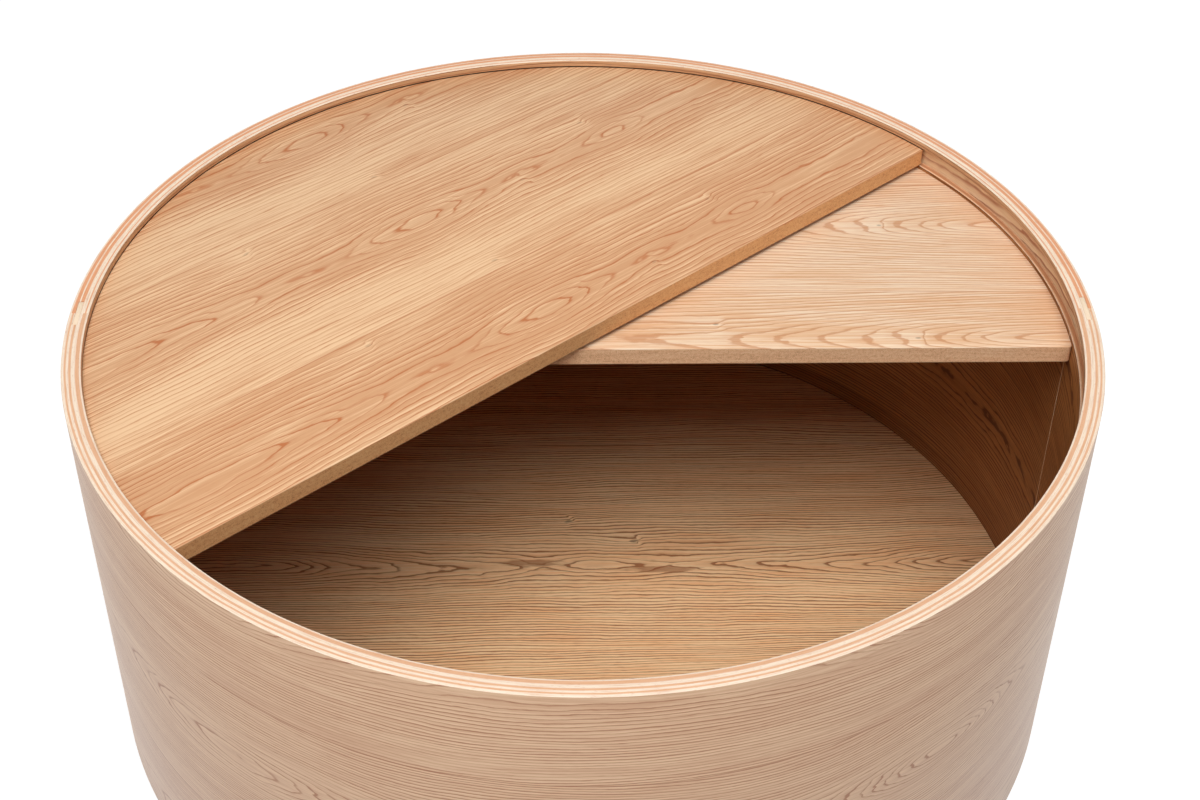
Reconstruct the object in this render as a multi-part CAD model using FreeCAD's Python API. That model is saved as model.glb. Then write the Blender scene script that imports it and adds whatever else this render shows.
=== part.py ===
import FreeCAD, Part
import math
import os

# A round swivel coffee table. Two half shells of bent plywood make the drum wall. They hold
# the bottom panel in a groove near the floor and carry a fixed half top on cleats. A second
# half top, the lid, turns about a pivot at the centre, with its arc edge in a groove that
# runs all the way round under the rim.
# Millimetres, +Z up, origin on the floor below the centre. X runs through the two seams of
# the wall, and -Y is the front.

# Drum wall
drum_diameter = 800.0
overall_height = 350.0
wall_thickness = 15.0
edge_easing = 0.8

# Loose tongues that join the two half shells at the seams
tongue_thickness = 4.0
tongue_width = 29.0
tongue_end_gap = 0.5
tongue_cover = 0.4

# Floor glides, nailed under the wall
floor_glide_count = 6
floor_glide_diameter = 12.0
floor_glide_height = 2.0
floor_glide_easing = 0.5
nail_diameter = 2.0
nail_length = 13.0
nail_seat = 1.2

# Bottom panel, let into the wall
bottom_thickness = 15.0
bottom_recess = 6.0
bottom_groove_depth = 5.0
bottom_groove_play = 0.2
bottom_edge_gap = 0.5

# Veneer on both faces of each board
veneer_thickness = 0.6

# Lid, with the groove under the rim that it turns in
lid_thickness = 15.0
lid_past_centre = 12.5
lid_corner_radius = 6.0
lid_edge_gap = 2.0
lid_top_gap = 1.0
lid_rest_angle_deg = 40.5
rim_lip_height = 6.0
lid_groove_depth = 6.0

# Glides under the lid's arc edge, which slide on the ledge of the groove
lid_glide_count = 5
lid_glide_pitch_deg = 38.0
lid_glide_diameter = 5.0
lid_glide_height = 1.9
lid_glide_easing = 0.4
lid_glide_inset = 0.8
lid_glide_stem_diameter = 2.5
lid_glide_stem_length = 7.0

# Fixed half top
fixed_thickness = 15.0
fixed_past_centre = 15.5
fixed_corner_radius = 3.0
fixed_edge_gap = 0.6
fixed_drop = 2.5

# Cleats that carry the fixed half top on the rear wall
cleat_count = 5
cleat_length = 70.0
cleat_depth = 20.0
cleat_height = 22.0
cleat_wall_gap = 0.3

# Countersunk screws of the cleats
screw_diameter = 4.0
screw_head_diameter = 8.0
screw_head_rim = 0.4
screw_head_sink = 0.6
screw_tip_length = 4.0
drive_span = 4.4
drive_width = 0.9
drive_depth = 1.6
wall_screw_bite = 9.0
panel_screw_bite = 9.0

# Pivot
pin_diameter = 8.0
pin_easing = 0.8
pin_tail = 2.0
insert_diameter = 12.0
insert_length = 11.0
insert_barb_count = 4
insert_barb_depth = 0.6
spacer_diameter = 14.0
bush_diameter = 12.0
bush_flange_diameter = 20.0
bush_flange_thickness = 1.5
washer_diameter = 16.0
washer_thickness = 1.6
clip_diameter = 12.4
clip_thickness = 1.0
clip_opening_deg = 80.0
clip_groove_depth = 0.7

# Fits
glue_gap = 0.1
running_gap = 0.06
axial_play = 0.1
overrun = 5.0

# Places worked out from the sizes above
drum_radius = drum_diameter / 2
wall_radius = drum_radius - wall_thickness
wall_middle_radius = drum_radius - wall_thickness / 2
wall_low = floor_glide_height
wall_high = overall_height

bottom_low = wall_low + bottom_recess
bottom_high = bottom_low + bottom_thickness
bottom_groove_radius = wall_radius + bottom_groove_depth
bottom_radius = bottom_groove_radius - bottom_edge_gap

lip_low = wall_high - rim_lip_height
lid_groove_radius = wall_radius + lid_groove_depth
lid_radius = lid_groove_radius - lid_edge_gap
lid_high = lip_low - lid_top_gap
lid_low = lid_high - lid_thickness
ledge_high = lid_low - lid_glide_height - axial_play
lid_glide_radius = lid_radius - lid_glide_inset - lid_glide_diameter / 2

fixed_radius = wall_radius - fixed_edge_gap
fixed_high = ledge_high - fixed_drop
fixed_low = fixed_high - fixed_thickness

cleat_outer_radius = wall_radius - cleat_wall_gap
cleat_inner_radius = cleat_outer_radius - cleat_depth
cleat_middle_radius = cleat_outer_radius - cleat_depth / 2
cleat_low = fixed_low - cleat_height
cleat_middle = fixed_low - cleat_height / 2
cleat_angle_deg = math.degrees(cleat_length / cleat_outer_radius)

tongue_radius = lid_groove_radius + tongue_cover + glue_gap + tongue_thickness / 2

pin_radius = pin_diameter / 2
pin_bore_radius = pin_radius + running_gap
insert_high = lid_low + insert_length
flange_low = fixed_low - bush_flange_thickness
washer_high = flange_low - axial_play
washer_low = washer_high - washer_thickness
clip_low = washer_low - clip_thickness
clip_groove_radius = pin_radius - clip_groove_depth
pin_low = clip_low - axial_play - pin_tail

ORIGIN = FreeCAD.Vector(0, 0, 0)
ACROSS = FreeCAD.Vector(0, 1, 0)
UP = FreeCAD.Vector(0, 0, 1)


def turned(outline, angle_deg=360.0):
    """A solid turned about Z from a closed outline of (radius, height) corners."""
    corners = [FreeCAD.Vector(radius, 0, height) for radius, height in outline]
    return Part.Face(Part.makePolygon(corners + corners[:1])).revolve(ORIGIN, UP, angle_deg)


def tube(outer_radius, inner_radius, low, high):
    """A ring of square section round Z."""
    return turned([(inner_radius, low), (outer_radius, low), (outer_radius, high), (inner_radius, high)])


def rod(radius, low, high):
    """A plain cylinder on Z."""
    return Part.makeCylinder(radius, high - low, FreeCAD.Vector(0, 0, low))


def block(x_low, x_high, y_low, y_high, low, high):
    """A box between the given limits."""
    corner = FreeCAD.Vector(x_low, y_low, low)
    return Part.makeBox(x_high - x_low, y_high - y_low, high - low, corner)


def spun(shape, angle_deg):
    """A copy of the shape turned about Z."""
    return shape.rotated(ORIGIN, UP, angle_deg)


def placed(shape, radius, angle_deg):
    """A copy of a shape made on Z, carried out to a radius and turned to an angle about Z."""
    return spun(shape.translated(FreeCAD.Vector(radius, 0, 0)), angle_deg)


def even_angles(count, span_deg):
    """The middles of equal shares of an angle, in degrees."""
    return [span_deg * (index + 0.5) / count for index in range(count)]


def tongue_block(side, gap, end_gap, over):
    """The loose tongue at one seam, or with gaps its slot."""
    middle = side * tongue_radius
    half = tongue_thickness / 2 + gap
    reach = tongue_width / 2 + end_gap
    return block(middle - half, middle + half, -reach, reach, wall_low - over, wall_high + over)


def half_shell(start_deg):
    """One half of the drum wall, with the lid's groove, the bottom panel's groove and the seam slots."""
    bottom_groove_high = bottom_high + bottom_groove_play
    outline = [
        (drum_radius - edge_easing, wall_low),
        (drum_radius, wall_low + edge_easing),
        (drum_radius, wall_high - edge_easing),
        (drum_radius - edge_easing, wall_high),
        (wall_radius + edge_easing, wall_high),
        (wall_radius, wall_high - edge_easing),
        (wall_radius, lip_low),
        (lid_groove_radius, lip_low),
        (lid_groove_radius, ledge_high),
        (wall_radius, ledge_high),
        (wall_radius, bottom_groove_high),
        (bottom_groove_radius, bottom_groove_high),
        (bottom_groove_radius, bottom_low),
        (wall_radius, bottom_low),
        (wall_radius, wall_low + edge_easing),
        (wall_radius + edge_easing, wall_low),
    ]
    shell = spun(turned(outline, 180.0), start_deg)
    slots = [tongue_block(side, glue_gap, tongue_end_gap, overrun) for side in (-1, 1)]
    return shell.cut(slots)


def half_disc(radius, past_centre, corner_radius):
    """A flat face: the disc behind y = -past_centre, with its two corners rounded."""
    reach = radius - corner_radius
    centre_y = corner_radius - past_centre
    centre_x = math.sqrt(reach**2 - centre_y**2)
    ends = {}
    for side in (-1, 1):
        centre = FreeCAD.Vector(side * centre_x, centre_y, 0)
        outward = FreeCAD.Vector(centre).normalize()
        halfway = (outward - ACROSS).normalize()
        on_edge = FreeCAD.Vector(side * centre_x, -past_centre, 0)
        ends[side] = (on_edge, centre + halfway * corner_radius, outward * radius)
    left_edge, left_middle, left_arc = ends[-1]
    right_edge, right_middle, right_arc = ends[1]
    edges = [
        Part.LineSegment(left_edge, right_edge),
        Part.Arc(right_edge, right_middle, right_arc),
        Part.Arc(right_arc, FreeCAD.Vector(0, radius, 0), left_arc),
        Part.Arc(left_arc, left_middle, left_edge),
    ]
    return Part.Face(Part.Wire([edge.toShape() for edge in edges]))


def layer(outline, low, high):
    """A flat outline given a thickness, from one height to another."""
    return outline.translated(FreeCAD.Vector(0, 0, low)).extrude(FreeCAD.Vector(0, 0, high - low))


def veneered(name, outline, low, high):
    """The layers of a veneered board: its core, face veneer and back veneer."""
    core_low = low + veneer_thickness
    core_high = high - veneer_thickness
    return {
        name + "_board": layer(outline, core_low, core_high),
        name + "_face_veneer": layer(outline, core_high, high),
        name + "_back_veneer": layer(outline, low, core_low),
    }


def cut_from(pieces, names, cutters):
    """Bores the named pieces."""
    for node in names:
        pieces[node] = pieces[node].cut(cutters)


def screw_body(length, gap, mouth):
    """A countersunk screw that points up Z from a flat head at z = 0, or with a gap its hole."""
    head_radius = screw_head_diameter / 2 + gap
    shank_radius = screw_diameter / 2 + gap
    taper_high = screw_head_rim + head_radius - shank_radius
    return turned([
        (0, -mouth),
        (head_radius, -mouth),
        (head_radius, screw_head_rim),
        (shank_radius, taper_high),
        (shank_radius, length - screw_tip_length + gap),
        (0, length + gap),
    ])


def screw(length):
    """A wood screw with a cross recess in its head."""
    half_span = drive_span / 2
    half_width = drive_width / 2
    recess = [
        block(-half_span, half_span, -half_width, half_width, -overrun, drive_depth),
        block(-half_width, half_width, -half_span, half_span, -overrun, drive_depth),
    ]
    return screw_body(length, 0, 0).cut(recess)


def aimed_at_wall(shape):
    """A shape that points up Z, laid over to point outwards along X at the cleats' middle height."""
    laid = shape.rotated(ORIGIN, ACROSS, 90.0)
    return laid.translated(FreeCAD.Vector(0, 0, cleat_middle))


def cleat():
    """A curved block that fits the inside of the wall, centred on the X axis."""
    ring = turned([
        (cleat_inner_radius, cleat_low),
        (cleat_outer_radius, cleat_low),
        (cleat_outer_radius, fixed_low),
        (cleat_inner_radius, fixed_low),
    ], cleat_angle_deg)
    return spun(ring, -cleat_angle_deg / 2)


def floor_glide():
    """A plastic glide with a blind hole for its nail."""
    radius = floor_glide_diameter / 2
    disc = turned([
        (0, 0),
        (radius - floor_glide_easing, 0),
        (radius, floor_glide_easing),
        (radius, floor_glide_height),
        (0, floor_glide_height),
    ])
    seat_low = floor_glide_height - nail_seat - glue_gap
    return disc.cut(rod(nail_diameter / 2 + glue_gap, seat_low, floor_glide_height + overrun))


def nail(gap):
    """The nail of a floor glide, or with a gap the hole that it needs."""
    radius = nail_diameter / 2 + gap
    low = floor_glide_height - nail_seat
    high = low + nail_length
    return turned([(0, low), (radius, low), (radius, high - nail_diameter), (0, high + gap)])


def lid_glide():
    """A glide button with a stem that is pressed into the lid's underside."""
    radius = lid_glide_diameter / 2
    stem_radius = lid_glide_stem_diameter / 2
    foot = lid_low - lid_glide_height
    stem_high = lid_low + lid_glide_stem_length
    return turned([
        (0, foot),
        (radius - lid_glide_easing, foot),
        (radius, foot + lid_glide_easing),
        (radius, lid_low),
        (stem_radius, lid_low),
        (stem_radius, stem_high),
        (0, stem_high),
    ])


def barbed_insert():
    """The threaded insert in the lid, a sleeve with barbs that hold it in the board."""
    outer_radius = insert_diameter / 2
    root_radius = outer_radius - insert_barb_depth
    pitch = insert_length / insert_barb_count
    outline = [(pin_bore_radius, lid_low)]
    for index in range(insert_barb_count):
        barb_low = lid_low + index * pitch
        outline.append((outer_radius, barb_low))
        outline.append((root_radius, barb_low + pitch))
    outline.append((pin_bore_radius, insert_high))
    return turned(outline)


def pivot_pin():
    """The pin that hangs from the insert through the fixed half top, grooved for its clip."""
    tip_radius = pin_radius - pin_easing
    return turned([
        (0, pin_low),
        (tip_radius, pin_low),
        (pin_radius, pin_low + pin_easing),
        (pin_radius, clip_low - axial_play),
        (clip_groove_radius, clip_low - axial_play),
        (clip_groove_radius, washer_low),
        (pin_radius, washer_low),
        (pin_radius, insert_high - pin_easing),
        (tip_radius, insert_high),
        (0, insert_high),
    ])


def retaining_clip():
    """The open spring ring in the pin's groove, which keeps the lid from lifting."""
    inner_radius = clip_groove_radius + running_gap
    outer_radius = clip_diameter / 2
    return turned([
        (inner_radius, clip_low),
        (outer_radius, clip_low),
        (outer_radius, washer_low),
        (inner_radius, washer_low),
    ], 360.0 - clip_opening_deg)


def flanged_bush():
    """The bush in the fixed half top, with a flange below."""
    flange_radius = bush_flange_diameter / 2
    body_radius = bush_diameter / 2
    return turned([
        (pin_bore_radius, flange_low),
        (flange_radius, flange_low),
        (flange_radius, fixed_low),
        (body_radius, fixed_low),
        (body_radius, fixed_high),
        (pin_bore_radius, fixed_high),
    ])


def numbered(name, shapes):
    """Separate nodes for a repeated piece, numbered from one."""
    return {f"{name}_{number}": shape for number, shape in enumerate(shapes, start=1)}


def floor_glides():
    """The floor glides and the group of their nails, under the middle of the wall."""
    angles = even_angles(floor_glide_count, 360.0)
    pieces = numbered("floor_glide", [placed(floor_glide(), wall_middle_radius, angle) for angle in angles])
    pieces["glide_nails"] = Part.makeCompound([placed(nail(0), wall_middle_radius, angle) for angle in angles])
    holes = [placed(nail(glue_gap), wall_middle_radius, angle) for angle in angles]
    return pieces, holes


def cleat_set():
    """The cleats with their two groups of screws, and the holes of each group."""
    wall_screw_length = cleat_depth + cleat_wall_gap - screw_head_sink + wall_screw_bite
    panel_screw_length = cleat_height - screw_head_sink + panel_screw_bite
    wall_screw_radius = cleat_inner_radius + screw_head_sink
    panel_screw_lift = FreeCAD.Vector(0, 0, cleat_low + screw_head_sink)
    wall_screw = aimed_at_wall(screw(wall_screw_length))
    wall_hole = aimed_at_wall(screw_body(wall_screw_length, glue_gap, overrun))
    panel_screw = screw(panel_screw_length).translated(panel_screw_lift)
    panel_hole = screw_body(panel_screw_length, glue_gap, overrun).translated(panel_screw_lift)
    middles = even_angles(cleat_count, 180.0)
    wall_angles = []
    for middle in middles:
        wall_angles += [middle - cleat_angle_deg / 4, middle + cleat_angle_deg / 4]
    wall_holes = [placed(wall_hole, wall_screw_radius, angle) for angle in wall_angles]
    panel_holes = [placed(panel_hole, cleat_middle_radius, angle) for angle in middles]
    pieces = numbered("cleat", [spun(cleat(), middle).cut(wall_holes + panel_holes) for middle in middles])
    pieces["cleat_wall_screws"] = Part.makeCompound(
        [placed(wall_screw, wall_screw_radius, angle) for angle in wall_angles])
    pieces["cleat_panel_screws"] = Part.makeCompound(
        [placed(panel_screw, cleat_middle_radius, angle) for angle in middles])
    return pieces, wall_holes, panel_holes


def drum_wall(nail_holes, wall_screw_holes):
    """The two half shells and the tongues between them."""
    return {
        "front_shell": half_shell(180.0).cut(nail_holes),
        "rear_shell": half_shell(0).cut(nail_holes + wall_screw_holes),
        "left_tongue": tongue_block(-1, 0, 0, 0),
        "right_tongue": tongue_block(1, 0, 0, 0),
    }


def bottom_panel():
    """The round veneered panel that the wall's groove holds."""
    circle = Part.Face(Part.Wire([Part.makeCircle(bottom_radius)]))
    return veneered("bottom", circle, bottom_low, bottom_high)


def fixed_half_top(panel_screw_holes):
    """The half top that stays still, with the bush of the pivot."""
    outline = half_disc(fixed_radius, fixed_past_centre, fixed_corner_radius)
    pieces = veneered("fixed_top", outline, fixed_low, fixed_high)
    bush_hole = rod(bush_diameter / 2 + glue_gap, fixed_low - overrun, fixed_high + overrun)
    cut_from(pieces, ["fixed_top_face_veneer"], [bush_hole])
    cut_from(pieces, ["fixed_top_board", "fixed_top_back_veneer"], [bush_hole] + panel_screw_holes)
    pieces["pivot_bush"] = flanged_bush()
    pieces["pivot_spacer"] = tube(spacer_diameter / 2, pin_bore_radius, fixed_high, lid_low - axial_play)
    return pieces


def swivel_lid():
    """The half top that turns, with its glides and the pivot that turns with it."""
    outline = half_disc(lid_radius, lid_past_centre, lid_corner_radius)
    pieces = veneered("lid", outline, lid_low, lid_high)
    first = 90.0 - lid_glide_pitch_deg * (lid_glide_count - 1) / 2
    angles = [first + lid_glide_pitch_deg * index for index in range(lid_glide_count)]
    stem_radius = lid_glide_stem_diameter / 2 + glue_gap
    stem_hole = rod(stem_radius, lid_low - overrun, lid_low + lid_glide_stem_length + glue_gap)
    insert_hole = rod(insert_diameter / 2 + glue_gap, lid_low - overrun, insert_high + glue_gap)
    holes = [placed(stem_hole, lid_glide_radius, angle) for angle in angles] + [insert_hole]
    cut_from(pieces, ["lid_board", "lid_back_veneer"], holes)
    pieces.update(numbered("lid_glide", [placed(lid_glide(), lid_glide_radius, angle) for angle in angles]))
    pieces["pivot_insert"] = barbed_insert()
    pieces["pivot_pin"] = pivot_pin()
    pieces["pivot_washer"] = tube(washer_diameter / 2, pin_bore_radius, washer_low, washer_high)
    pieces["pivot_clip"] = retaining_clip()
    return {node: spun(shape, lid_rest_angle_deg) for node, shape in pieces.items()}


def swivel_table():
    """Every piece of the table by its node's name."""
    table, nail_holes = floor_glides()
    cleats, wall_screw_holes, panel_screw_holes = cleat_set()
    table.update(cleats)
    table.update(drum_wall(nail_holes, wall_screw_holes))
    table.update(bottom_panel())
    table.update(fixed_half_top(panel_screw_holes))
    table.update(swivel_lid())
    return table


os.makedirs("parts", exist_ok=True)
for node, shape in swivel_table().items():
    shape.exportStep(f"parts/{node}.step")
    print(node, "solids", len(shape.Solids), "valid", shape.isValid(), "volume", round(shape.Volume))
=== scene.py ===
"""Looks of a round swivel coffee table in veneered ash: its wall, boards, finishes, light and camera."""

import logging
import math
from contextlib import contextmanager
from dataclasses import asdict, dataclass
from enum import Enum
from typing import Callable, Iterator, Optional, Sequence, Union

import bmesh
import bpy
from mathutils import Matrix, Vector


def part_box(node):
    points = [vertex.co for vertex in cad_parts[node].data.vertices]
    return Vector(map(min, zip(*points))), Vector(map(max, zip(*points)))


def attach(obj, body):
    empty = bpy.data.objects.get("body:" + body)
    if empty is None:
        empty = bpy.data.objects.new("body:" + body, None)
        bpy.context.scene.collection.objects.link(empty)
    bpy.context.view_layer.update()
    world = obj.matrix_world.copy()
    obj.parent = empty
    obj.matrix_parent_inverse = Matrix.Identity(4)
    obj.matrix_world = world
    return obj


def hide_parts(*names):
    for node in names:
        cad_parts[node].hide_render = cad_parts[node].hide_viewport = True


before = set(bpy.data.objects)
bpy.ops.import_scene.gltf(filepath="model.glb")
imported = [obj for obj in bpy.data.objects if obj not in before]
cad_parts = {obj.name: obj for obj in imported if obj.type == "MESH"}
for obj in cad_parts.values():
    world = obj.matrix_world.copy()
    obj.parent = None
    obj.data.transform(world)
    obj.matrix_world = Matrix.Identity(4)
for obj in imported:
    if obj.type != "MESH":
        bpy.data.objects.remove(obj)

log = logging.getLogger("swivel_table")

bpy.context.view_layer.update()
MM = 0.001
PER_MM = 1000.0
NEAR = 0.01 * MM
WELD = 0.001 * MM

Socket = bpy.types.NodeSocket
Value = Union[float, Sequence[float], Socket]
Colour = tuple[float, float, float, float]


def paint(red: int, green: int, blue: int) -> Colour:
    """Gives the linear colour of an 8-bit screen colour.

    Args:
        red: Red from 0 to 255.
        green: Green from 0 to 255.
        blue: Blue from 0 to 255.

    Returns:
        The linear colour with full alpha.
    """
    shares = [channel / 255 for channel in (red, green, blue)]
    linear = [s / 12.92 if s <= 0.04045 else ((s + 0.055) / 1.055) ** 2.4 for s in shares]
    return (linear[0], linear[1], linear[2], 1.0)


class Pick(Enum):
    """What a selection is made of."""

    VERTS = "VERT"
    EDGES = "EDGE"
    FACES = "FACE"


class Grain(Enum):
    """How the veneer's grain lies on a piece."""

    FLAT = "along the straight edge of a flat board"
    ROUND = "round the drum"


class WallFace(Enum):
    """The faces of the drum's wall, in the order of their finishes."""

    OUTER = 0
    INNER = 1
    PLIES = 2
    GROOVE = 3
    GROOVE_SIDE = 4
    LIP = 5


@dataclass(frozen=True)
class Streak:
    """Noise drawn out along the grain: a streak's size in millimetres, its layer and the noise's octaves."""

    length: float
    width: float
    layer: float = 0.0
    detail: float = 2.0


class NodeSheet:
    """A node tree with short calls that add a node and wire its inputs."""

    def __init__(self, tree: bpy.types.NodeTree) -> None:
        """Starts on a tree."""
        self.tree = tree

    def add(self, kind: str, **settings: object) -> bpy.types.Node:
        """Adds a node.

        Args:
            kind: The node's type name.
            **settings: Properties of the node.

        Returns:
            The new node.
        """
        node = self.tree.nodes.new(kind)
        for name, value in settings.items():
            setattr(node, name, value)
        return node

    def feed(self, socket: Socket, value: Value) -> None:
        """Wires a socket to another, or sets its value."""
        if isinstance(value, bpy.types.NodeSocket):
            self.tree.links.new(value, socket)
        else:
            socket.default_value = value

    def math(self, operation: str, *values: Value) -> Socket:
        """Adds a Math node.

        Args:
            operation: The node's operation.
            *values: Its inputs in order.

        Returns:
            The result.
        """
        node = self.add("ShaderNodeMath", operation=operation)
        for socket, value in zip(node.inputs, values):
            self.feed(socket, value)
        return node.outputs[0]

    def total(self, first: Value, *others: Value) -> Socket:
        """Adds up several values."""
        for other in others:
            first = self.math("ADD", first, other)
        return first

    def times(self, first: Value, *others: Value) -> Socket:
        """Multiplies several values."""
        for other in others:
            first = self.math("MULTIPLY", first, other)
        return first

    def less(self, first: Value, second: Value) -> Socket:
        """Takes the second value from the first."""
        return self.math("SUBTRACT", first, second)

    def over(self, first: Value, second: Value) -> Socket:
        """Divides the first value by the second."""
        return self.math("DIVIDE", first, second)

    def squares(self, *values: Value) -> Socket:
        """Adds up the squares of several values."""
        return self.total(*[self.times(value, value) for value in values])

    def bell(self, *values: Value) -> Socket:
        """Falls from 1 where all values are zero towards 0, in the shape of a bell."""
        return self.math("EXPONENT", self.times(self.squares(*values), -1.0))

    def band(self, value: Value, low: Value, high: Value, first: float = 0.0, last: float = 1.0) -> Socket:
        """Eases from one level to another between two limits.

        Args:
            value: The value that is mapped.
            low: Where the change starts.
            high: Where it ends.
            first: The level before the change.
            last: The level after it.

        Returns:
            The eased level.
        """
        node = self.add("ShaderNodeMapRange", interpolation_type="SMOOTHSTEP")
        for socket, given in zip(node.inputs, (value, low, high, first, last)):
            self.feed(socket, given)
        return node.outputs[0]

    def vector(self, x: Value, y: Value, z: Value = 0.0) -> Socket:
        """Joins three values into a vector."""
        node = self.add("ShaderNodeCombineXYZ")
        for socket, value in zip(node.inputs, (x, y, z)):
            self.feed(socket, value)
        return node.outputs[0]

    def noise(self, place: Value, scale: float = 1.0, detail: float = 2.0, roughness: float = 0.5) -> Socket:
        """Adds a Noise Texture.

        Args:
            place: Where the noise is read.
            scale: Its scale.
            detail: Its octaves.
            roughness: How strong the finer octaves are.

        Returns:
            The noise from 0 to 1.
        """
        node = self.add("ShaderNodeTexNoise")
        self.feed(node.inputs["Vector"], place)
        node.inputs["Scale"].default_value = scale
        node.inputs["Detail"].default_value = detail
        node.inputs["Roughness"].default_value = roughness
        return node.outputs["Fac"]

    def streaks(self, along: Value, across: Value, streak: Streak, seed: Optional[Socket] = None) -> Socket:
        """Adds noise that is drawn out along the grain.

        Args:
            along: Place along the grain, in millimetres.
            across: Place across the grain, in millimetres.
            streak: The streaks' size, layer and octaves.
            seed: A number that is added to the layer, or none.

        Returns:
            The noise from 0 to 1.
        """
        layer = streak.layer if seed is None else self.total(seed, streak.layer)
        place = self.vector(self.times(along, 1 / streak.length), self.times(across, 1 / streak.width), layer)
        return self.noise(place, detail=streak.detail)

    def swing(self, along: Value, across: Value, streak: Streak, seed: Optional[Socket] = None) -> Socket:
        """Adds the noise of streaks, but about zero."""
        return self.less(self.streaks(along, across, streak, seed), 0.5)

    def mix(self, share: Value, under: Value, over: Value) -> Socket:
        """Mixes two colours.

        Args:
            share: How much of the second shows.
            under: The first colour.
            over: The second colour.

        Returns:
            The mixed colour.
        """
        node = self.add("ShaderNodeMix", data_type="RGBA")
        self.feed(node.inputs["Factor"], share)
        colours = [socket for socket in node.inputs if socket.type == "RGBA"]
        self.feed(colours[0], under)
        self.feed(colours[1], over)
        return next(socket for socket in node.outputs if socket.type == "RGBA")

    def ramp(self, value: Value, stops: Sequence[tuple[float, Colour]]) -> Socket:
        """Adds a Color Ramp.

        Args:
            value: The value that runs along it.
            stops: Places and colours in order.

        Returns:
            The colour.
        """
        node = self.add("ShaderNodeValToRGB")
        self.feed(node.inputs[0], value)
        elements = node.color_ramp.elements
        for _ in range(len(stops) - len(elements)):
            elements.new(1.0)
        for element, (place, colour) in zip(elements, stops):
            element.position = place
            element.color = colour
        return node.outputs[0]

    def place(self, group: bpy.types.NodeTree, **values: Value) -> bpy.types.Node:
        """Places a node group.

        Args:
            group: The group.
            **values: Its inputs, in small letters and with underscores for spaces.

        Returns:
            The group's node.
        """
        node = self.add("ShaderNodeGroup", node_tree=group)
        for name, value in values.items():
            self.feed(node.inputs[name.replace("_", " ").title()], value)
        return node


class GroupSheet(NodeSheet):
    """A node group with named inputs and outputs."""

    def __init__(self, name: str, inputs: Sequence[str], outputs: Sequence[str]) -> None:
        """Makes the group and its sockets. Those whose names end in Colour are colours.

        Args:
            name: The group's name.
            inputs: Names of the inputs.
            outputs: Names of the outputs.
        """
        tree = bpy.data.node_groups.new(name, "ShaderNodeTree")
        for side, labels in (("INPUT", inputs), ("OUTPUT", outputs)):
            for label in labels:
                kind = "NodeSocketColor" if label.endswith("Colour") else "NodeSocketFloat"
                tree.interface.new_socket(label, in_out=side, socket_type=kind)
        super().__init__(tree)
        self.given = self.add("NodeGroupInput").outputs
        self.result = self.add("NodeGroupOutput").inputs

    def put(self, **values: Value) -> bpy.types.NodeTree:
        """Wires the group's outputs.

        Args:
            **values: What each output gives, named in small letters and with underscores for spaces.

        Returns:
            The finished group.
        """
        for name, value in values.items():
            self.feed(self.result[name.replace("_", " ").title()], value)
        return self.tree


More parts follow.
